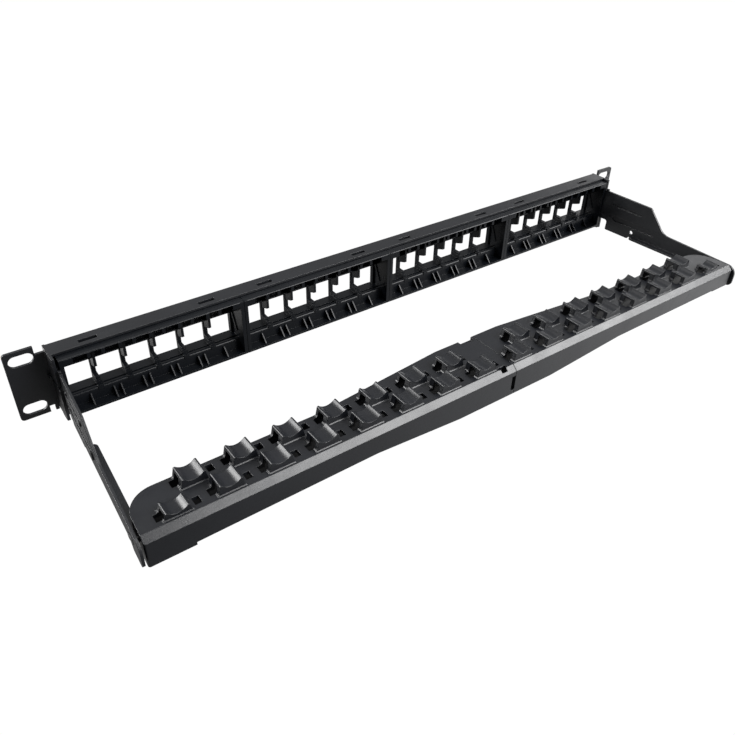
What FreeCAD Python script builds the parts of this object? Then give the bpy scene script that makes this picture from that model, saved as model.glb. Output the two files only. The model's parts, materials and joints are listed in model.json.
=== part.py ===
import FreeCAD, Part
import math
import os

# Modular patch panel for a 19-inch rack, with a rear cable bar.
# X runs along the panel, the front faces -Y, Z is up, and all sizes are in millimetres.
# The origin is the centre of the rack mounting plane, which is the rear face of the two ears.

# Steel frame
SHEET = 1.5
RACK_WIDTH = 482.6
EAR_HEIGHT = 44.0
EAR_CORNER = 2.0
BODY_WIDTH = 441.0
BODY_HEIGHT = 40.8
BODY_BEND = 0.8
FLANGE_REAR = 10.3
SIDE_REAR = 15.5
RACK_SLOT_SPACING_X = 465.1
RACK_SLOT_SPACING_Z = 31.75
RACK_SLOT_LENGTH = 13.0
RACK_SLOT_WIDTH = 6.8
EAR_NOTCH_END = 225.3
EAR_NOTCH_TOP = 17.0
EAR_NOTCH_BOTTOM = -18.0
EAR_FOOT_WIDTH = 1.9
SIDE_LOBE_FRONT = 5.0
SIDE_LOBE_BOTTOM = -21.6
LATCH_SLOT_LENGTH = 10.2
LATCH_SLOT_WIDTH = 2.7
LATCH_SPREAD = 35.0
LATCH_Y = 5.9

# Port modules
MODULE_COUNT = 4
MODULE_PITCH = 108.8
MODULE_WIDTH = 108.5
MODULE_TOP = 18.7
MODULE_BOTTOM = -18.6
MODULE_REAR = 15.9
MODULE_WALL = 2.2
BEZEL_WIDTH = 103.6
BEZEL_TOP = 17.0
BEZEL_BOTTOM = -13.2
BEZEL_CLEARANCE = 0.2
PORT_COUNT = 6
PORT_PITCH = 17.3
WINDOW_WIDTH = 14.8
WINDOW_SILL = -9.7
WINDOW_TOP = 6.6
POST_REAR = 0.3
LINTEL_REAR = 4.6
LINTEL_THICKNESS = 0.9
GROOVE_FRONT = 5.8
GROOVE_REAR = 6.9
GROOVE_DEPTH = 2.2
LEDGE_TOP = -9.9
LEDGE_REAR = 9.4
LEDGE_ROUND = 1.3
FLOOR_TOP = -17.2
FOOT_TOP = -5.6
FOOT_WIDTH = 3.2
TOE_REACH = 0.25
TOE_DROP = 1.9
TOE_RISE = 0.6
RIB_TOP = -12.1
RIB_WIDTH = 0.8
RIB_SPREAD = 2.05
BLADE_THICKNESS = 1.6
BLADE_REAR = 7.8
TOP_WALL = 1.8
RIM_BOTTOM = 14.8
RIM_THICKNESS = 2.0
NOTCH_TOP = 18.0

# Label strip in the front of each module
LABEL_WIDTH = 95.6
LABEL_BOTTOM = 8.8
LABEL_TOP = 15.8
LABEL_DEPTH = 1.2
CARD_THICKNESS = 0.25
COVER_THICKNESS = 0.9

# Cable bar: two steel arms
ARM_SHEET = 1.4
ARM_OUTER = 218.95
ARM_BEND_Y = 16.0
ARM_SPLAY = 3.2
ARM_TOP = 12.5
ARM_NECK_BOTTOM = -11.0
ARM_FOOT_BOTTOM = -19.0
ARM_BAR_BOTTOM = -17.2
ARM_END = 134.6
ARM_END_BOTTOM = -21.9
ARM_FLANGE_WIDTH = 5.8
EMBOSS = 0.8
HOOK_REACH = 3.1
HOOK_Z = 1.4
HOOK_HEIGHT = 2.0

# Cable bar: two moulded tray halves
TRAY_TOP = -6.0
TRAY_END = 222.8
TRAY_END_SLOPE = 0.056
SEAM_X = -5.2
SEAM_GAP = 0.15
TRAY_INNER = 102.8
TRAY_NOSE = 93.8
TRAY_NOSE_END = 25.0
TRAY_SLOPE_END = 115.0
TRAY_REAR = 132.7
TRAY_INNER_CORNER = 15.6
TRAY_REAR_CORNER = 1.2
TRAY_PLATE = 2.2
TRAY_WALL = 2.2
TRAY_SIDE_BOTTOM = -15.3
TRAY_INNER_BOTTOM = -20.0
TRAY_INNER_END = 210.0
TRAY_SKIRT_FRONT = 117.5
SPINE_FRONT = 114.6
SPINE_REAR = 116.0
SPINE_END = 216.5
SKIRT_RIGHT = [(TRAY_END, -24.1), (199.0, -24.1), (199.0, -22.4), (95.0, -21.4), (37.0, -25.4)]
SKIRT_LEFT = [
    (TRAY_END, -18.2), (TRAY_END - 2.5, -20.5), (204.0, -20.5),
    (204.0, -19.9), (100.0, -20.2), (37.0, -25.4),
]
BEVEL_DEPTH = 3.5
BEVEL_HEIGHT = 3.1
BOSS_Y = 121.5
BOSS_Z = -13.6
BOSS_REACH = 2.4

# Joiner under the seam
JOINER_REACH = 38.0
JOINER_FRONT = 97.0
JOINER_REAR = 101.4
JOINER_BOTTOM = -13.0
JOINER_GAP = 0.3

# Saddles that carry the cables
SADDLE_PITCH = 27.0
SADDLE_LENGTH = 10.8
LAST_SADDLE_LENGTH = 8.6
BACK_ROW_Y = 108.5
FRONT_ROW_Y = 122.4
FRONT_ROW_START = 14.5
BACK_ROW_COUNT = 7
FRONT_ROW_COUNT = 8
LIP_X = 5.3
LIP_HEIGHT = 5.6
VALLEY_HEIGHT = 3.4
SADDLE_FOOT = 7.2
SADDLE_WALL = 1.6
SADDLE_END_WALL = 1.3
SADDLE_FILLET = 0.5
TIE_HOLE_LENGTH = 4.9

V = FreeCAD.Vector
X_AXIS = V(1, 0, 0)
Y_AXIS = V(0, 1, 0)
Z_AXIS = V(0, 0, 1)


def box(x0, x1, y0, y1, z0, z1):
    return Part.makeBox(x1 - x0, y1 - y0, z1 - z0, V(x0, y0, z0))


def lines(points):
    """A closed face from corner points."""
    return Part.Face(Part.makePolygon(points + [points[0]]))


def plate_yz(corners, x0, x1):
    """A plate with its outline in the YZ plane, from x0 to x1."""
    face = lines([V(x0, y, z) for y, z in corners])
    return face.extrude(V(x1 - x0, 0, 0))


def plate_xz(corners, y0, y1):
    """A plate with its outline in the XZ plane, from y0 to y1."""
    face = lines([V(x, y0, z) for x, z in corners])
    return face.extrude(V(0, y1 - y0, 0))


def join(shapes):
    first, rest = shapes[0], shapes[1:]
    if rest:
        first = first.fuse(rest)
    return first.removeSplitter()


def round_edges(shape, radius, wanted):
    """Fillet the edges for which wanted(edge) is true."""
    edges = [edge for edge in shape.Edges if wanted(edge)]
    return shape.makeFillet(radius, edges)


def along(edge, axis):
    """True for a straight edge that runs along the axis."""
    if not isinstance(edge.Curve, (Part.Line, Part.LineSegment)):
        return False
    return abs(abs(edge.tangentAt(edge.FirstParameter).dot(axis)) - 1) < 1e-6


def obround_y(x, z, length, width, y0, y1):
    """A round-ended bar along Y whose section is long in X."""
    radius = width / 2
    reach = length / 2 - radius
    shapes = [box(x - reach, x + reach, y0, y1, z - radius, z + radius)]
    for side in (-1, 1):
        shapes.append(Part.makeCylinder(radius, y1 - y0, V(x + side * reach, y0, z), Y_AXIS))
    return join(shapes)


def obround_x(y, z, length, width, x0, x1):
    """A round-ended bar along X whose section is long in Y."""
    radius = width / 2
    reach = length / 2 - radius
    shapes = [box(x0, x1, y - reach, y + reach, z - radius, z + radius)]
    for side in (-1, 1):
        shapes.append(Part.makeCylinder(radius, x1 - x0, V(x0, y + side * reach, z), X_AXIS))
    return join(shapes)


def mirror_x(shape):
    return shape.mirror(V(0, 0, 0), X_AXIS)


def module_centres():
    middle = (MODULE_COUNT - 1) / 2
    return [(middle - index) * MODULE_PITCH for index in range(MODULE_COUNT)]


def port_centres():
    middle = (PORT_COUNT - 1) / 2
    return [(middle - index) * PORT_PITCH for index in range(PORT_COUNT)]


def partition_centres():
    ports = port_centres()
    return [(a + b) / 2 for a, b in zip(ports, ports[1:])]


# ---------------------------------------------------------------- steel frame

def channel():
    """Front web with its top and bottom flanges, bent from one sheet."""
    half_x = BODY_WIDTH / 2
    half_z = BODY_HEIGHT / 2
    outer = box(-half_x, half_x, -SHEET, FLANGE_REAR, -half_z, half_z)

    def front_corner(edge):
        return along(edge, X_AXIS) and edge.CenterOfMass.y < 0

    outer = round_edges(outer, BODY_BEND, front_corner)
    inside = box(-half_x, half_x, 0, FLANGE_REAR, SHEET - half_z, half_z - SHEET)
    return outer.cut(inside)


def ear():
    """Right-hand rack ear, with the relief cuts beside the bends."""
    inner = BODY_WIDTH / 2 - SHEET
    outer = RACK_WIDTH / 2
    half_z = EAR_HEIGHT / 2
    plate = box(inner, outer, -SHEET, 0, -half_z, half_z)

    def outer_corner(edge):
        return along(edge, Y_AXIS) and edge.CenterOfMass.x > outer - 0.1

    plate = round_edges(plate, EAR_CORNER, outer_corner)
    body_edge = BODY_WIDTH / 2
    foot_edge = body_edge + EAR_FOOT_WIDTH
    cuts = [
        box(inner, body_edge, -SHEET, 0, BODY_HEIGHT / 2, half_z),
        box(body_edge, EAR_NOTCH_END, -SHEET, 0, EAR_NOTCH_TOP, half_z),
        box(foot_edge, EAR_NOTCH_END, -SHEET, 0, -half_z, EAR_NOTCH_BOTTOM),
        box(inner, body_edge, -SHEET, 0, -half_z, -BODY_HEIGHT / 2),
    ]
    for side in (-1, 1):
        x = RACK_SLOT_SPACING_X / 2
        z = side * RACK_SLOT_SPACING_Z / 2
        cuts.append(obround_y(x, z, RACK_SLOT_LENGTH, RACK_SLOT_WIDTH, -SHEET, 0))
    return plate.cut(cuts)


def side_flange():
    """Right-hand side flange, with an open slot that takes the hook of the arm."""
    outer = BODY_WIDTH / 2
    inner = outer - SHEET
    half_z = BODY_HEIGHT / 2
    plate = box(inner, outer, -SHEET, SIDE_REAR, -half_z, half_z)
    lobe = box(inner, outer, SIDE_LOBE_FRONT, SIDE_REAR, SIDE_LOBE_BOTTOM, 0)

    def lower_corner(edge):
        return along(edge, X_AXIS) and edge.CenterOfMass.z < SIDE_LOBE_BOTTOM + 0.1

    lobe = round_edges(lobe, 3.0, lower_corner)
    slot_gap = 0.4
    hook_slot = box(
        inner, outer, 0.0, SIDE_REAR,
        HOOK_Z - HOOK_HEIGHT / 2 - slot_gap, HOOK_Z + HOOK_HEIGHT / 2 + slot_gap,
    )
    sight_hole = Part.makeCylinder(1.3, SHEET, V(inner, 12.0, 15.4), X_AXIS)
    return join([plate, lobe]).cut([hook_slot, sight_hole])


def panel_frame():
    half = [ear(), side_flange()]
    frame = join([channel()] + half + [mirror_x(shape) for shape in half])
    cuts = []
    for centre in module_centres():
        half_x = BEZEL_WIDTH / 2
        cuts.append(box(centre - half_x, centre + half_x, -SHEET, 0, BEZEL_BOTTOM, BEZEL_TOP))
        for side in (-1, 1):
            x = centre + side * LATCH_SPREAD
            for level in (-1, 1):
                z = level * (BODY_HEIGHT / 2 - SHEET / 2)
                cuts.append(latch_slot(x, z))
    return frame.cut(cuts).removeSplitter()


def latch_slot(x, z):
    half_x = LATCH_SLOT_LENGTH / 2
    half_y = LATCH_SLOT_WIDTH / 2
    return box(x - half_x, x + half_x, LATCH_Y - half_y, LATCH_Y + half_y, z - SHEET, z + SHEET)


# ---------------------------------------------------------------- port module

def rib_places():
    """Floor ribs: a pair behind each port, but only the inner one behind the two end ports."""
    places = [x + side * RIB_SPREAD for x in port_centres() for side in (1, -1)]
    return places[1:-1]


def module_shell():
    """Bezel, front plate, end walls, roof with its rear rim, and the stepped floor."""
    half = MODULE_WIDTH / 2
    bezel_half = BEZEL_WIDTH / 2 - BEZEL_CLEARANCE
    bezel = box(
        -bezel_half, bezel_half, -SHEET, 0.5,
        BEZEL_BOTTOM + BEZEL_CLEARANCE, BEZEL_TOP - BEZEL_CLEARANCE,
    )
    plate = box(-half, half, 0.05, 1.5, MODULE_BOTTOM, MODULE_TOP)
    roof = box(-half, half, 0.05, MODULE_REAR, MODULE_TOP - TOP_WALL, MODULE_TOP)
    rim = box(-half, half, MODULE_REAR - RIM_THICKNESS, MODULE_REAR, RIM_BOTTOM, MODULE_TOP)
    hood = join([roof, rim])

    def rear_top(edge):
        centre = edge.CenterOfMass
        return along(edge, X_AXIS) and centre.y > MODULE_REAR - 0.1 and centre.z > MODULE_TOP - 0.1

    hood = round_edges(hood, 1.1, rear_top)
    sill = box(-half, half, 0.05, GROOVE_REAR, MODULE_BOTTOM, WINDOW_SILL)
    ledge = box(-half, half, GROOVE_FRONT, LEDGE_REAR, MODULE_BOTTOM, LEDGE_TOP)

    def ledge_edge(edge):
        centre = edge.CenterOfMass
        return along(edge, X_AXIS) and centre.y > LEDGE_REAR - 0.1 and centre.z > LEDGE_TOP - 0.1

    ledge = round_edges(ledge, LEDGE_ROUND, ledge_edge)
    floor = box(-half, half, 0.05, MODULE_REAR, MODULE_BOTTOM, FLOOR_TOP)
    inside = half - MODULE_WALL
    lintel = box(-inside, inside, 1.0, LINTEL_REAR, WINDOW_TOP, WINDOW_TOP + LINTEL_THICKNESS)
    shapes = [bezel, plate, hood, sill, ledge, floor, lintel]
    for side in (-1, 1):
        x0, x1 = sorted((side * half, side * (half - MODULE_WALL)))
        shapes.append(box(x0, x1, 0.05, MODULE_REAR, MODULE_BOTTOM, MODULE_TOP - 0.4))
    return join(shapes)


def module_cuts():
    """Windows, rim notches, ledge grooves, label recess, latch slits and moulding pockets."""
    cuts = []
    half_window = WINDOW_WIDTH / 2
    for x in port_centres():
        cuts.append(box(x - half_window, x + half_window, -SHEET, 1.5, WINDOW_SILL, WINDOW_TOP))
        cuts.append(box(x - 3.8, x + 3.8, MODULE_REAR - RIM_THICKNESS, MODULE_REAR, RIM_BOTTOM, NOTCH_TOP))
        cuts.append(box(x - 6.6, x + 6.6, 1.7, 8.1, MODULE_BOTTOM, -13.2))
    for x in partition_centres():
        half_post = (PORT_PITCH - WINDOW_WIDTH) / 2
        cuts.append(box(x - half_post, x + half_post, POST_REAR, 1.5, WINDOW_SILL, WINDOW_TOP))
        cuts.append(box(x - 2.9, x + 2.9, MODULE_REAR - RIM_THICKNESS, MODULE_REAR, RIM_BOTTOM, NOTCH_TOP))
    inside = MODULE_WIDTH / 2 - MODULE_WALL
    groove_floor = LEDGE_TOP - GROOVE_DEPTH
    cuts.append(box(-inside, inside, GROOVE_FRONT, GROOVE_REAR, groove_floor, WINDOW_SILL))
    half_label = LABEL_WIDTH / 2
    cuts.append(box(-half_label, half_label, -SHEET, LABEL_DEPTH - SHEET, LABEL_BOTTOM, LABEL_TOP))
    for side in (-1, 1):
        x = side * LATCH_SPREAD
        for edge in (x - 5.0, x + 4.5):
            cuts.append(box(edge, edge + 0.5, 3.0, 11.0, MODULE_TOP - TOP_WALL, MODULE_TOP))
        cuts.append(box(x - 4.5, x + 4.5, 3.0, 3.5, MODULE_TOP - TOP_WALL, MODULE_TOP))
    return cuts


def module_details():
    """Blades between the ports, posts' feet, floor ribs, end-wall braces and latch barbs."""
    shapes = []
    half_blade = BLADE_THICKNESS / 2
    half_foot = FOOT_WIDTH / 2
    half_post = (PORT_PITCH - WINDOW_WIDTH) / 2
    roof = MODULE_TOP - TOP_WALL
    blade = [(0.0, -0.2), (BLADE_REAR, 2.7), (BLADE_REAR, roof + 0.2), (0.0, roof + 0.2)]
    for x in partition_centres():
        shapes.append(plate_yz(blade, x - half_blade, x + half_blade))
        shapes.append(box(x - half_post, x + half_post, 0.0, GROOVE_FRONT, FLOOR_TOP, FOOT_TOP))
        shapes.append(box(x - half_foot, x + half_foot, 0.0, BLADE_REAR, FLOOR_TOP, FOOT_TOP - 1.4))
        shapes.append(box(
            x - half_foot, x + half_foot, BLADE_REAR - 0.1, LEDGE_REAR + TOE_REACH,
            LEDGE_TOP - TOE_DROP, LEDGE_TOP + TOE_RISE,
        ))
    rib = [(LEDGE_REAR - 0.5, FLOOR_TOP - 0.5), (14.9, FLOOR_TOP - 0.5), (14.9, FLOOR_TOP),
           (LEDGE_REAR + 0.6, RIB_TOP), (LEDGE_REAR - 0.5, RIB_TOP)]
    for x in rib_places():
        shapes.append(plate_yz(rib, x - RIB_WIDTH / 2, x + RIB_WIDTH / 2))
    brace = [(1.0, 7.5), (2.6, 7.5), (8.6, -5.0), (7.0, -5.0)]
    inside = MODULE_WIDTH / 2 - MODULE_WALL
    for side in (-1, 1):
        x0, x1 = sorted((side * (inside - 0.7), side * (inside + 0.2)))
        shapes.append(plate_yz(brace, x0, x1))
        x = side * LATCH_SPREAD
        barb = [(5.2, MODULE_TOP - 0.4), (6.9, MODULE_TOP - 0.4), (6.9, 18.82), (6.2, 18.82)]
        shapes.append(plate_yz(barb, x - 4.2, x + 4.2))
    return shapes


def port_module():
    shell = module_shell().cut(module_cuts())
    return join([shell] + module_details())


def label_card():
    back = LABEL_DEPTH - SHEET
    gap = 0.2
    return box(
        gap - LABEL_WIDTH / 2, LABEL_WIDTH / 2 - gap,
        back - CARD_THICKNESS, back, LABEL_BOTTOM + gap, LABEL_TOP - gap,
    )


def label_cover():
    """Clear strip with a thumb notch at one end, flush with the bezel."""
    gap = 0.1
    back = COVER_THICKNESS - SHEET
    strip = box(
        gap - LABEL_WIDTH / 2, LABEL_WIDTH / 2 - gap,
        -SHEET, back, LABEL_BOTTOM + gap, LABEL_TOP - gap,
    )

    def front_edge(edge):
        return edge.CenterOfMass.y < 0.01 - SHEET

    strip = round_edges(strip, 0.3, front_edge)
    middle = (LABEL_BOTTOM + LABEL_TOP) / 2
    notch = Part.makeCylinder(1.6, COVER_THICKNESS, V(LABEL_WIDTH / 2, -SHEET, middle), Y_AXIS)
    return strip.cut(notch)


# ---------------------------------------------------------------- arms of the cable bar

def arm_outline():
    """Outline of the main plate in the YZ plane, before the splay, with its arcs."""
    def at(y, z):
        return V(0, y, z)

    corner = [
        Part.LineSegment(at(ARM_BEND_Y - 1, ARM_TOP), at(17.0, ARM_TOP)),
        Part.LineSegment(at(17.0, ARM_TOP), at(17.0, ARM_TOP + 1.4)),
        Part.LineSegment(at(17.0, ARM_TOP + 1.4), at(18.8, ARM_TOP + 1.4)),
        Part.LineSegment(at(18.8, ARM_TOP + 1.4), at(18.8, ARM_TOP)),
        Part.LineSegment(at(18.8, ARM_TOP), at(57.5, ARM_TOP - 0.5)),
        Part.Arc(at(57.5, ARM_TOP - 0.5), at(59.2, 11.4), at(60.2, 10.2)),
        Part.LineSegment(at(60.2, 10.2), at(69.6, -0.2)),
        Part.Arc(at(69.6, -0.2), at(73.2, -3.4), at(79.0, -4.9)),
        Part.LineSegment(at(79.0, -4.9), at(112.0, -6.2)),
        Part.LineSegment(at(112.0, -6.2), at(127.6, -6.8)),
        Part.Arc(at(127.6, -6.8), at(132.8, -9.0), at(ARM_END, -14.4)),
        Part.LineSegment(at(ARM_END, -14.4), at(ARM_END, ARM_END_BOTTOM + 3.4)),
        Part.Arc(
            at(ARM_END, ARM_END_BOTTOM + 3.4), at(ARM_END - 1.0, ARM_END_BOTTOM + 1.0),
            at(ARM_END - 3.4, ARM_END_BOTTOM),
        ),
        Part.LineSegment(at(ARM_END - 3.4, ARM_END_BOTTOM), at(121.4, ARM_END_BOTTOM)),
        Part.LineSegment(at(121.4, ARM_END_BOTTOM), at(118.0, ARM_BAR_BOTTOM)),
        Part.LineSegment(at(118.0, ARM_BAR_BOTTOM), at(45.4, ARM_BAR_BOTTOM)),
        Part.Arc(at(45.4, ARM_BAR_BOTTOM), at(44.6, -17.6), at(44.2, -18.4)),
        Part.Arc(at(44.2, -18.4), at(43.9, -18.8), at(43.4, ARM_FOOT_BOTTOM)),
        Part.LineSegment(at(43.4, ARM_FOOT_BOTTOM), at(23.0, ARM_FOOT_BOTTOM)),
        Part.LineSegment(at(23.0, ARM_FOOT_BOTTOM), at(22.4, -18.4)),
        Part.LineSegment(at(22.4, -18.4), at(22.6, -12.6)),
        Part.Arc(at(22.6, -12.6), at(22.0, -11.5), at(20.8, ARM_NECK_BOTTOM)),
        Part.LineSegment(at(20.8, ARM_NECK_BOTTOM), at(ARM_BEND_Y - 1, ARM_NECK_BOTTOM)),
        Part.LineSegment(at(ARM_BEND_Y - 1, ARM_NECK_BOTTOM), at(ARM_BEND_Y - 1, ARM_TOP)),
    ]
    return Part.Face(Part.Wire([piece.toShape() for piece in corner]))


def arm_flange():
    """Flange along the lower edge, bent inwards, with a round front corner."""
    flange = box(-ARM_FLANGE_WIDTH, 0, 47.0, 116.5, ARM_BAR_BOTTOM, ARM_BAR_BOTTOM + ARM_SHEET)

    def front_corner(edge):
        centre = edge.CenterOfMass
        return along(edge, Z_AXIS) and centre.x < 0.1 - ARM_FLANGE_WIDTH and centre.y < 48

    return round_edges(flange, 3.0, front_corner)


def arm_plate():
    """The main plate in its own frame: outer face at x = 0, inner face at x = -ARM_SHEET."""
    plate = arm_outline().extrude(V(-ARM_SHEET, 0, 0))
    bosses = [
        obround_x(40.5, 3.5, 26.0, 3.6, 0.0, EMBOSS),
        obround_x(47.2, -7.2, 41.5, 6.2, 0.0, EMBOSS),
        Part.makeCylinder(1.4, 0.6, V(0, 24.8, 3.7), X_AXIS),
        Part.makeCylinder(1.4, 0.6, V(0, 24.6, -6.8), X_AXIS),
    ]
    recesses = [
        obround_x(40.5, 3.5, 24.4, 2.0, -ARM_SHEET, EMBOSS - ARM_SHEET),
        obround_x(47.2, -7.2, 39.9, 4.6, -ARM_SHEET, EMBOSS - ARM_SHEET),
        Part.makeCylinder(0.8, 0.6, V(-ARM_SHEET, 24.8, 3.7), X_AXIS),
        Part.makeCylinder(0.8, 0.6, V(-ARM_SHEET, 24.6, -6.8), X_AXIS),
    ]
    holes = [
        Part.makeCylinder(1.5, ARM_SHEET, V(-ARM_SHEET, 46.4, -13.1), X_AXIS),
        obround_x(BOSS_Y, BOSS_Z, 7.8, 4.2, -ARM_SHEET, 0.0),
    ]
    return join([plate, arm_flange()] + bosses).cut(recesses + holes)


def arm():
    """Right-hand arm: the neck lies inside the side flange and the plate splays outwards."""
    neck = box(ARM_OUTER - ARM_SHEET, ARM_OUTER, 0.4, ARM_BEND_Y + 0.5, ARM_NECK_BOTTOM, ARM_TOP)

    def front_corner(edge):
        return along(edge, X_AXIS) and edge.CenterOfMass.y < 0.5

    neck = round_edges(neck, 1.5, front_corner)
    half_hook = HOOK_HEIGHT / 2
    hook = box(
        ARM_OUTER - 0.1, ARM_OUTER + HOOK_REACH, 0.4, 4.0, HOOK_Z - half_hook, HOOK_Z + half_hook,
    )
    plate = arm_plate()
    plate.rotate(V(0, ARM_BEND_Y, 0), Z_AXIS, -ARM_SPLAY)
    plate.translate(V(ARM_OUTER, 0, 0))
    return join([neck, hook, plate])


# ---------------------------------------------------------------- tray of the cable bar

def tray_face(inset, z, free_end):
    """Plan outline of a half that runs from free_end towards +X, shrunk by inset all round."""
    rear = TRAY_REAR - inset
    inner = TRAY_INNER + inset
    nose = TRAY_NOSE + inset
    corner = TRAY_INNER_CORNER - inset
    rear_corner = max(TRAY_REAR_CORNER - inset, 0.5)
    seam = free_end + inset
    end = TRAY_END - inset - rear_corner * TRAY_END_SLOPE
    front_end = end - (rear - rear_corner - inner - corner) * TRAY_END_SLOPE
    diagonal = math.sqrt(0.5)

    def at(x, y):
        return V(x, y, z)

    def arc(centre_x, centre_y, radius, side):
        level = at(centre_x + radius, centre_y)
        middle = at(centre_x + radius * diagonal, centre_y + side * radius * diagonal)
        upright = at(centre_x, centre_y + side * radius)
        ends = (upright, level) if side < 0 else (level, upright)
        return Part.Arc(ends[0], middle, ends[1])

    pieces = [
        Part.LineSegment(at(seam, nose), at(TRAY_NOSE_END, nose)),
        Part.LineSegment(at(TRAY_NOSE_END, nose), at(TRAY_SLOPE_END, inner)),
        Part.LineSegment(at(TRAY_SLOPE_END, inner), at(front_end - corner, inner)),
        arc(front_end - corner, inner + corner, corner, -1),
        Part.LineSegment(at(front_end, inner + corner), at(end, rear - rear_corner)),
        arc(end - rear_corner, rear - rear_corner, rear_corner, 1),
        Part.LineSegment(at(end - rear_corner, rear), at(seam, rear)),
        Part.LineSegment(at(seam, rear), at(seam, nose)),
    ]
    return Part.Face(Part.Wire([piece.toShape() for piece in pieces]))


def tray_shell(skirt_bottom, seam):
    """Top plate, walls round the free sides, the deep skirt along the rear and the middle rib."""
    lowest = skirt_bottom[-1][1]
    start = seam - 1.0
    skirt_outline = [(start, TRAY_TOP), (TRAY_END, TRAY_TOP)] + skirt_bottom + [(start, lowest)]
    plate = tray_face(0, TRAY_TOP, seam).extrude(V(0, 0, -TRAY_PLATE))
    ring = tray_face(0, TRAY_TOP, seam).extrude(V(0, 0, lowest - TRAY_TOP))
    ring = ring.cut(tray_face(TRAY_WALL, TRAY_TOP, seam).extrude(V(0, 0, lowest - TRAY_TOP)))
    skirt = ring.common(plate_xz(skirt_outline, TRAY_SKIRT_FRONT, TRAY_REAR))
    behind = TRAY_SKIRT_FRONT + 0.1
    shapes = [
        plate,
        skirt,
        ring.common(box(start, TRAY_END, TRAY_NOSE, behind, TRAY_SIDE_BOTTOM, TRAY_TOP)),
        ring.common(box(start, TRAY_INNER_END, TRAY_NOSE, behind, TRAY_INNER_BOTTOM, TRAY_TOP)),
        box(seam + 1, SPINE_END, SPINE_FRONT, SPINE_REAR, TRAY_INNER_BOTTOM, TRAY_TOP - 1),
        box(SPINE_END, TRAY_END - 2, SPINE_FRONT, SPINE_REAR, TRAY_SIDE_BOTTOM, TRAY_TOP - 1),
    ]
    bevel = [
        (TRAY_REAR - BEVEL_DEPTH, TRAY_TOP), (TRAY_REAR, TRAY_TOP - BEVEL_HEIGHT),
        (TRAY_REAR + 1, TRAY_TOP - BEVEL_HEIGHT), (TRAY_REAR + 1, TRAY_TOP + 1),
        (TRAY_REAR - BEVEL_DEPTH, TRAY_TOP + 1),
    ]
    return join(shapes).cut(plate_yz(bevel, start, TRAY_END))


def saddle_foot(x, y, length):
    """Small slope all round the foot of a saddle."""
    base = TRAY_TOP - 0.1
    faces = []
    for grow, z in ((SADDLE_FILLET, base), (0.0, TRAY_TOP + SADDLE_FILLET)):
        half_x = SADDLE_FOOT + grow
        half_y = length / 2 + grow
        corners = [(-half_x, -half_y), (half_x, -half_y), (half_x, half_y), (-half_x, half_y)]
        faces.append(Part.makePolygon([V(x + dx, y + dy, z) for dx, dy in corners + corners[:1]]))
    return Part.makeLoft(faces, True, True)


def tie_span(y, length):
    """The tie holes and slots lie towards the front of a saddle in the back row."""
    if y < (BACK_ROW_Y + FRONT_ROW_Y) / 2:
        middle = y - 0.9
    else:
        middle = y + 0.2
    half_tie = min(TIE_HOLE_LENGTH, length - 2 * SADDLE_END_WALL) / 2
    return middle - half_tie, middle + half_tie


def saddle_cavity(x, y, height, length):
    """Hollow inside a saddle, open through the tray, and the tie opening through both its legs."""
    low = TRAY_TOP - TRAY_PLATE
    lip = TRAY_TOP + height
    valley = lip - (LIP_HEIGHT - VALLEY_HEIGHT)
    shoulder = lip - 2.4
    half_length = length / 2 - SADDLE_END_WALL
    foot_in = SADDLE_FOOT - SADDLE_WALL

    def at(dx, z):
        return V(x + dx, y - half_length, z)

    pieces = [
        Part.LineSegment(at(-foot_in, low), at(-foot_in, TRAY_TOP)),
        Part.LineSegment(at(-foot_in, TRAY_TOP), at(-4.4, shoulder)),
        Part.Arc(at(-4.4, shoulder), at(0, valley - SADDLE_WALL), at(4.4, shoulder)),
        Part.LineSegment(at(4.4, shoulder), at(foot_in, TRAY_TOP)),
        Part.LineSegment(at(foot_in, TRAY_TOP), at(foot_in, low)),
        Part.LineSegment(at(foot_in, low), at(-foot_in, low)),
    ]
    wire = Part.Wire([piece.toShape() for piece in pieces])
    hollow = Part.Face(wire).extrude(V(0, 2 * half_length, 0))
    reach = SADDLE_FOOT + SADDLE_FILLET
    y0, y1 = tie_span(y, length)
    leg_in = foot_in - SADDLE_WALL
    slots = [
        box(x + leg_in, x + reach, y0, y1, low, lip - 1.6),
        box(x - reach, x - leg_in, y0, y1, TRAY_TOP, shoulder),
    ]
    return [hollow] + slots


def saddle(x, y, height, length):
    """One saddle: a bridge with a hollow top between two lips and closed ends."""
    half_length = length / 2
    base = TRAY_TOP - 0.6
    lip = TRAY_TOP + height
    valley = lip - (LIP_HEIGHT - VALLEY_HEIGHT)

    def at(dx, z):
        return V(x + dx, y - half_length, z)

    pieces = [
        Part.LineSegment(at(-SADDLE_FOOT, base), at(-6.1, lip - 0.9)),
        Part.Arc(at(-6.1, lip - 0.9), at(-5.5, lip), at(-4.7, lip - 0.3)),
        Part.Arc(at(-4.7, lip - 0.3), at(0, valley), at(4.7, lip - 0.3)),
        Part.Arc(at(4.7, lip - 0.3), at(5.5, lip), at(6.1, lip - 0.9)),
        Part.LineSegment(at(6.1, lip - 0.9), at(SADDLE_FOOT, base)),
        Part.LineSegment(at(SADDLE_FOOT, base), at(-SADDLE_FOOT, base)),
    ]
    wire = Part.Wire([piece.toShape() for piece in pieces])
    body = Part.Face(wire).extrude(V(0, length, 0))
    return join([body, saddle_foot(x, y, length)])


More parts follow.
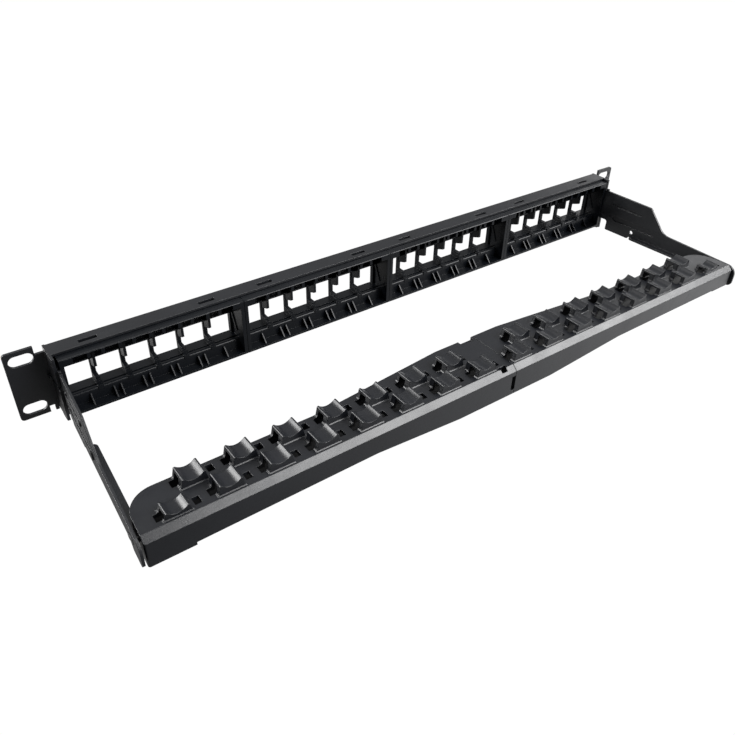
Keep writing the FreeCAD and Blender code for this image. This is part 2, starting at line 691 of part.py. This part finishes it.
def saddle_places(side):
    """Centre, lip height and length of one half's saddles, seven behind and eight in front."""
    places = []
    for index in range(BACK_ROW_COUNT):
        places.append((side * SADDLE_PITCH * (index + 1), BACK_ROW_Y, LIP_HEIGHT, SADDLE_LENGTH))
    for index in range(FRONT_ROW_COUNT - 1):
        x = side * (FRONT_ROW_START + SADDLE_PITCH * index)
        places.append((x, FRONT_ROW_Y, LIP_HEIGHT, SADDLE_LENGTH))
    last = side * (FRONT_ROW_START + SADDLE_PITCH * (FRONT_ROW_COUNT - 1))
    last_y = FRONT_ROW_Y + (SADDLE_LENGTH - LAST_SADDLE_LENGTH) / 2
    places.append((last, last_y, LIP_HEIGHT - 1.6, LAST_SADDLE_LENGTH))
    return places


def tie_holes(x, y, length):
    """One tie hole against the +X leg and one a little way from the -X leg."""
    low = TRAY_TOP - TRAY_PLATE
    y0, y1 = tie_span(y, length)
    return [
        box(x + SADDLE_FOOT - 0.5, x + 10.1, y0, y1, low, TRAY_TOP + SADDLE_FILLET),
        box(x - 12.4, x - 8.8, y0, y1, low, TRAY_TOP),
    ]


def seam_cuts(side):
    """The passage for the joiner, and on the right-hand half the slots of the snap joint."""
    low = TRAY_TOP - TRAY_PLATE
    reach = JOINER_REACH + JOINER_GAP
    cuts = [box(
        SEAM_X - reach, SEAM_X + reach, JOINER_FRONT - JOINER_GAP, JOINER_REAR + JOINER_GAP,
        JOINER_BOTTOM - JOINER_GAP, low,
    )]
    if side > 0:
        cuts += [
            box(-3.7, 6.6, TRAY_NOSE, 97.4, low, TRAY_TOP),
            box(-0.1, 5.9, 127.2, 129.2, low, TRAY_TOP),
            box(0.7, 4.8, 129.1, 131.0, low - 1.5, TRAY_TOP),
            box(SEAM_X, SEAM_X + 2.9, 128.0, TRAY_REAR, -22.5, -12.2),
        ]
    return cuts


def tray_half(side):
    """One half of the tray; side is 1 on the +X side and -1 on the -X side."""
    if side > 0:
        shell = tray_shell(SKIRT_RIGHT, SEAM_X + SEAM_GAP)
    else:
        shell = tray_shell(SKIRT_LEFT, SEAM_GAP - SEAM_X)
    boss = obround_x(BOSS_Y, BOSS_Z, 6.8, 3.6, TRAY_END - 2.0, TRAY_END + BOSS_REACH)
    shell = join([shell, boss])
    if side < 0:
        shell = mirror_x(shell)
    places = saddle_places(side)
    cuts = seam_cuts(side)
    for x, y, height, length in places:
        cuts.extend(saddle_cavity(x, y, height, length))
        cuts.extend(tie_holes(x, y, length))
    return join([shell] + [saddle(*place) for place in places]).cut(cuts)


def tray_joiner():
    """Beam across the seam, under the plates of both halves."""
    beam = box(
        SEAM_X - JOINER_REACH, SEAM_X + JOINER_REACH, JOINER_FRONT, JOINER_REAR,
        JOINER_BOTTOM, TRAY_TOP - TRAY_PLATE,
    )
    return round_edges(beam, 0.8, lambda edge: along(edge, Z_AXIS))


# ---------------------------------------------------------------- export

def nodes():
    result = {"panel_frame": panel_frame()}
    module = port_module()
    card = label_card()
    cover = label_cover()
    for number, centre in enumerate(module_centres(), start=1):
        for name, shape in (("port_module", module), ("label_card", card), ("label_cover", cover)):
            result[f"{name}_{number}"] = shape.translated(V(centre, 0, 0))
    right = arm()
    result["arm_right"] = right
    result["arm_left"] = mirror_x(right)
    result["tray_right"] = tray_half(1)
    result["tray_left"] = tray_half(-1)
    result["tray_joiner"] = tray_joiner()
    return result


def main():
    os.makedirs("parts", exist_ok=True)
    for name, shape in nodes().items():
        bounds = shape.BoundBox
        print(f"{name:16s} solids {len(shape.Solids)} valid {shape.isValid()} "
              f"x {bounds.XMin:.1f}..{bounds.XMax:.1f} y {bounds.YMin:.1f}..{bounds.YMax:.1f} "
              f"z {bounds.ZMin:.1f}..{bounds.ZMax:.1f} volume {shape.Volume:.0f}")
        shape.exportStep(f"parts/{name}.step")


main()
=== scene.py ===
import json
import math

import bpy
from mathutils import Matrix, Vector


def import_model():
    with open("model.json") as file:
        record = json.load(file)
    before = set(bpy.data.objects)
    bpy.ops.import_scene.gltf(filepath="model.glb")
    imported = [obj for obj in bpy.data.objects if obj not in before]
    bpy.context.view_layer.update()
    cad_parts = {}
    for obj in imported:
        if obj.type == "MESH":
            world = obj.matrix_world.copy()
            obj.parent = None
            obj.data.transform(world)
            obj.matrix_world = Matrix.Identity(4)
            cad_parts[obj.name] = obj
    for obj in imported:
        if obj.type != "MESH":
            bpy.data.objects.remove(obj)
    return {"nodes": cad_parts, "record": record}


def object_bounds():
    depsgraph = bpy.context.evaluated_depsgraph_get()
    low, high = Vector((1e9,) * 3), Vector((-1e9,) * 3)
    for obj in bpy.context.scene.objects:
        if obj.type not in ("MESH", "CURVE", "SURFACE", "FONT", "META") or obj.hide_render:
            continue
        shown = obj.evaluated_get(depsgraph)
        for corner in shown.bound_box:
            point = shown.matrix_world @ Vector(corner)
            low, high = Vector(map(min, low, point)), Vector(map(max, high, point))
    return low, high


# Looks of the modular patch panel: materials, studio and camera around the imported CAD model.
# All sizes are in metres, in the frame of the CAD model, and all angles are in radians.

WHITE = (1.0, 1.0, 1.0, 1.0)
BLACK = (0.0, 0.0, 0.0, 1.0)

# The satin surfaces: slow colour drift, fine speckle, and smudges in the gloss.
DRIFT_SCALE = 24.0
DRIFT_RANGE = (-0.1, 0.5)
SPECKLE_SCALE = 0.6  # as a share of the grain's own scale
SPECKLE_WEIGHT = 0.6
COLOUR_STOPS = (0.25, 0.75)
SMUDGE_SCALE = 60.0
SMUDGE_RANGE = (0.3, 0.7)
EDGE_SAMPLES = 6

CAMERA_PLACE = Vector((0.2730, 0.3632, 0.2475))
CAMERA_YAW = 0.635
CAMERA_PITCH = 0.631
CAMERA_ROLL = 0.021
CAMERA_LENS = 36.42  # mm
SENSOR_WIDTH = 36.0  # mm
CLIP_START = 0.01

FLOOR_DROP = 0.12
FLOOR_SIZE = 40.0
FLOOR_GLOW = 1.02

# The light from the floor grows along BOUNCE_DIRECTION, from the first to the second glow over the span.
BOUNCE_BELOW_FLOOR = 0.001
BOUNCE_DIRECTION = (-1.0, 0.5, 0.0)
BOUNCE_SPAN = (-0.05, 0.55)
BOUNCE_GLOW = (0.32, 1.5)

# A dark flag under the tray keeps the light of the floor out of its hollow underside.
FLAG_X = (-0.22, 0.22)
FLAG_Y = (0.095, 0.131)
FLAG_BELOW_PANEL = 0.004
FLAG_GLOW = 0.04

# The ceiling brightens with the height of the direction, from the first to the second glow over the span.
CEILING_SPAN = (0.15, 0.50)
CEILING_GLOW = (0.08, 0.62)


# ---------------------------------------------------------------- node helpers

def new_material(name):
    material = bpy.data.materials.new(name)
    material.use_nodes = True
    tree = material.node_tree
    shader = tree.nodes["Principled BSDF"]
    return material, tree, shader


def add(tree, kind, **inputs):
    node = tree.nodes.new(kind)
    for key, value in inputs.items():
        node.inputs[key.replace("_", " ")].default_value = value
    return node


def object_point(tree):
    """Position on the piece, in metres, which stays with the piece as it moves."""
    return tree.nodes.new("ShaderNodeTexCoord").outputs["Object"]


def noise(tree, point, scale, detail=3.0, roughness=0.5):
    node = add(tree, "ShaderNodeTexNoise", Scale=scale, Detail=detail, Roughness=roughness)
    tree.links.new(point, node.inputs["Vector"])
    return node.outputs["Fac"]


def ramp(tree, value, stops):
    """Colour ramp through (position, colour) stops."""
    node = tree.nodes.new("ShaderNodeValToRGB")
    elements = node.color_ramp.elements
    while len(elements) < len(stops):
        elements.new(0.5)
    for element, (position, colour) in zip(elements, stops):
        element.position = position
        element.color = (*colour, 1.0)
    tree.links.new(value, node.inputs["Fac"])
    return node.outputs["Color"]


def remap(tree, value, span, result):
    """Turn a value that runs over span into one that runs over result, and stop at its ends."""
    node = add(
        tree, "ShaderNodeMapRange",
        From_Min=span[0], From_Max=span[1], To_Min=result[0], To_Max=result[1],
    )
    tree.links.new(value, node.inputs["Value"])
    return node.outputs["Result"]


def bump(tree, height, distance, strength, normal=None):
    node = add(tree, "ShaderNodeBump", Distance=distance, Strength=strength)
    tree.links.new(height, node.inputs["Height"])
    if normal is not None:
        tree.links.new(normal, node.inputs["Normal"])
    return node.outputs["Normal"]


def soft_edges(tree, radius):
    """Shading normal that rounds every edge by the radius."""
    node = tree.nodes.new("ShaderNodeBevel")
    node.samples = EDGE_SAMPLES
    node.inputs["Radius"].default_value = radius
    return node.outputs["Normal"]


# ---------------------------------------------------------------- materials

def grained(name, dark, light, grain, grain_depth, rough, edge_radius, gloss):
    """A satin surface: slow colour drift, fine grain and speckle, and uneven gloss."""
    material, tree, shader = new_material(name)
    point = object_point(tree)
    drift = noise(tree, point, DRIFT_SCALE, detail=4.0)
    speckle = noise(tree, point, grain * SPECKLE_SCALE, detail=2.0, roughness=0.7)
    mixed = tree.nodes.new("ShaderNodeMath")
    mixed.operation = "MULTIPLY_ADD"
    tree.links.new(speckle, mixed.inputs[0])
    mixed.inputs[1].default_value = SPECKLE_WEIGHT
    tree.links.new(remap(tree, drift, (0.0, 1.0), DRIFT_RANGE), mixed.inputs[2])
    stops = list(zip(COLOUR_STOPS, (dark, light)))
    colour = ramp(tree, mixed.outputs["Value"], stops)
    tree.links.new(colour, shader.inputs["Base Color"])
    smudge = noise(tree, point, SMUDGE_SCALE, detail=6.0, roughness=0.65)
    tree.links.new(remap(tree, smudge, SMUDGE_RANGE, rough), shader.inputs["Roughness"])
    fine = noise(tree, point, grain, detail=2.0, roughness=0.65)
    edges = soft_edges(tree, edge_radius)
    tree.links.new(bump(tree, fine, grain_depth, 1.0, edges), shader.inputs["Normal"])
    shader.inputs["Specular IOR Level"].default_value = gloss
    return material


def powder_coat():
    return grained(
        "powder_coat_steel", dark=(0.0011, 0.0014, 0.0024), light=(0.0030, 0.0036, 0.0052),
        grain=850.0, grain_depth=0.00005, rough=(0.34, 0.48), edge_radius=0.00035, gloss=0.42,
    )


def module_plastic():
    return grained(
        "module_plastic", dark=(0.0014, 0.0018, 0.0026), light=(0.0034, 0.0040, 0.0052),
        grain=2400.0, grain_depth=0.000015, rough=(0.22, 0.32), edge_radius=0.00025, gloss=0.14,
    )


def tray_plastic():
    return grained(
        "tray_plastic", dark=(0.0023, 0.0027, 0.0038), light=(0.0052, 0.0058, 0.0076),
        grain=1800.0, grain_depth=0.00002, rough=(0.26, 0.38), edge_radius=0.0004, gloss=0.35,
    )


def card():
    """Matt white card with a faint paper fibre."""
    material, tree, shader = new_material("label_card")
    point = object_point(tree)
    fibre = noise(tree, point, 900.0, detail=6.0, roughness=0.7)
    colour = ramp(tree, fibre, [(0.3, (0.78, 0.78, 0.76)), (0.7, (0.86, 0.86, 0.84))])
    tree.links.new(colour, shader.inputs["Base Color"])
    tree.links.new(bump(tree, fibre, 0.00001, 0.6), shader.inputs["Normal"])
    shader.inputs["Roughness"].default_value = 0.8
    return material


def clear_cover():
    """Clear plastic with a slightly uneven polish."""
    material, tree, shader = new_material("label_cover")
    point = object_point(tree)
    haze = noise(tree, point, SMUDGE_SCALE)
    tree.links.new(remap(tree, haze, SMUDGE_RANGE, (0.06, 0.14)), shader.inputs["Roughness"])
    shader.inputs["Base Color"].default_value = (0.93, 0.95, 0.95, 1.0)
    shader.inputs["Transmission Weight"].default_value = 1.0
    shader.inputs["IOR"].default_value = 1.49
    return material


def paint(frame):
    """Give every CAD node its material."""
    by_slot = {
        "frame_steel": powder_coat(),
        "module_plastic": module_plastic(),
        "tray_plastic": tray_plastic(),
        "label_card": card(),
        "label_cover": clear_cover(),
    }
    by_slot["arm_steel"] = by_slot["frame_steel"]
    for entry in frame["record"]["subparts"]:
        node = frame["nodes"][entry["node"]]
        material = by_slot[entry["material_slot"]]
        if not node.data.materials:
            node.data.materials.append(material)
        for slot in node.material_slots:
            slot.material = material


# ---------------------------------------------------------------- studio

def aim(thing, target):
    thing.rotation_euler = (Vector(target) - thing.location).to_track_quat("-Z", "Y").to_euler()


def softbox(name, place, target, width, height, power):
    """A rectangular light of so many watts that the camera doesn't see."""
    light = bpy.data.lights.new(name, "AREA")
    light.shape = "RECTANGLE"
    light.size = width
    light.size_y = height
    light.energy = power
    thing = bpy.data.objects.new(name, light)
    bpy.context.scene.collection.objects.link(thing)
    thing.location = place
    thing.visible_camera = False
    aim(thing, target)


def glowing_plane(name, span_x, span_y, z, strength):
    """A level plane that only glows."""
    (x0, x1), (y0, y1) = span_x, span_y
    mesh = bpy.data.meshes.new(name)
    corners = [(x0, y0, z), (x1, y0, z), (x1, y1, z), (x0, y1, z)]
    mesh.from_pydata(corners, [], [(0, 1, 2, 3)])
    thing = bpy.data.objects.new(name, mesh)
    bpy.context.scene.collection.objects.link(thing)
    material, tree, shader = new_material(name)
    shader.inputs["Base Color"].default_value = BLACK
    shader.inputs["Specular IOR Level"].default_value = 0.0
    shader.inputs["Roughness"].default_value = 1.0
    shader.inputs["Emission Color"].default_value = WHITE
    shader.inputs["Emission Strength"].default_value = strength
    mesh.materials.append(material)
    return thing, tree, shader


def hide_from_view(thing):
    """Leave only the light of the plane: neither the camera nor clear plastic shows it."""
    thing.visible_camera = False
    thing.visible_transmission = False


def floor(lowest):
    """Evenly white to the eye, while its light on the object grows towards -X and +Y."""
    z = lowest - FLOOR_DROP
    span = (-FLOOR_SIZE / 2, FLOOR_SIZE / 2)
    seen, _, _ = glowing_plane("floor", span, span, z, FLOOR_GLOW)
    seen.visible_diffuse = False
    seen.visible_glossy = False
    bounce, tree, shader = glowing_plane("floor_bounce", span, span, z - BOUNCE_BELOW_FLOOR, 1.0)
    hide_from_view(bounce)
    along = tree.nodes.new("ShaderNodeVectorMath")
    along.operation = "DOT_PRODUCT"
    tree.links.new(object_point(tree), along.inputs[0])
    along.inputs[1].default_value = BOUNCE_DIRECTION
    glow = remap(tree, along.outputs["Value"], BOUNCE_SPAN, BOUNCE_GLOW)
    tree.links.new(glow, shader.inputs["Emission Strength"])


def tray_flag(lowest):
    flag, _, _ = glowing_plane("tray_flag", FLAG_X, FLAG_Y, lowest - FLAG_BELOW_PANEL, FLAG_GLOW)
    hide_from_view(flag)


def world():
    """A dim room with a broad soft ceiling light."""
    room = bpy.data.worlds.new("studio")
    room.use_nodes = True
    tree = room.node_tree
    background = tree.nodes["Background"]
    background.inputs["Color"].default_value = WHITE
    direction = tree.nodes.new("ShaderNodeTexCoord").outputs["Generated"]
    split = tree.nodes.new("ShaderNodeSeparateXYZ")
    tree.links.new(direction, split.inputs["Vector"])
    glow = remap(tree, split.outputs["Z"], CEILING_SPAN, CEILING_GLOW)
    tree.links.new(glow, background.inputs["Strength"])
    bpy.context.scene.world = room


def camera():
    """The camera stands behind the panel, above its +X end, and looks down at the cable bar."""
    forward = Vector((
        -math.sin(CAMERA_YAW) * math.cos(CAMERA_PITCH),
        -math.cos(CAMERA_YAW) * math.cos(CAMERA_PITCH),
        -math.sin(CAMERA_PITCH),
    ))
    level = forward.cross(Vector((0, 0, 1))).normalized()
    upright = level.cross(forward)
    right = math.cos(CAMERA_ROLL) * level + math.sin(CAMERA_ROLL) * upright
    up = math.cos(CAMERA_ROLL) * upright - math.sin(CAMERA_ROLL) * level
    turn = Matrix((right, up, -forward)).transposed().to_4x4()
    data = bpy.data.cameras.new("camera")
    data.sensor_width = SENSOR_WIDTH
    data.lens = CAMERA_LENS
    data.clip_start = CLIP_START
    thing = bpy.data.objects.new("camera", data)
    bpy.context.scene.collection.objects.link(thing)
    thing.matrix_world = Matrix.Translation(CAMERA_PLACE) @ turn
    bpy.context.scene.camera = thing


def lights():
    """Right and left are as the camera sees them; the large box streaks the tray's bevel and the saddles."""
    softbox(
        "right_softbox", place=(-0.60, 0.68, 0.68), target=(0.0, 0.13, 0.0),
        width=1.20, height=0.62, power=41.0,
    )
    softbox(
        "far_softbox", place=(-1.25, -0.45, 0.42), target=(-0.20, 0.05, 0.0),
        width=0.60, height=0.30, power=1.1,
    )
    softbox(
        "left_softbox", place=(0.72, -0.52, 0.46), target=(0.10, 0.11, 0.0),
        width=0.50, height=0.40, power=12.0,
    )
    softbox(
        "arm_light", place=(0.33, -0.22, -0.10), target=(0.223, 0.10, -0.012),
        width=0.25, height=0.25, power=0.42,
    )
    softbox(
        "top_softbox", place=(0.1, 0.0, 1.15), target=(0.0, 0.05, 0.0),
        width=0.8, height=0.6, power=6.0,
    )


def studio(lowest):
    world()
    floor(lowest)
    tray_flag(lowest)
    lights()
    bpy.context.scene.view_settings.view_transform = "Standard"


# ---------------------------------------------------------------- main


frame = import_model()
cad_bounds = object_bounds()
paint(frame)
studio(cad_bounds[0][2])
camera()
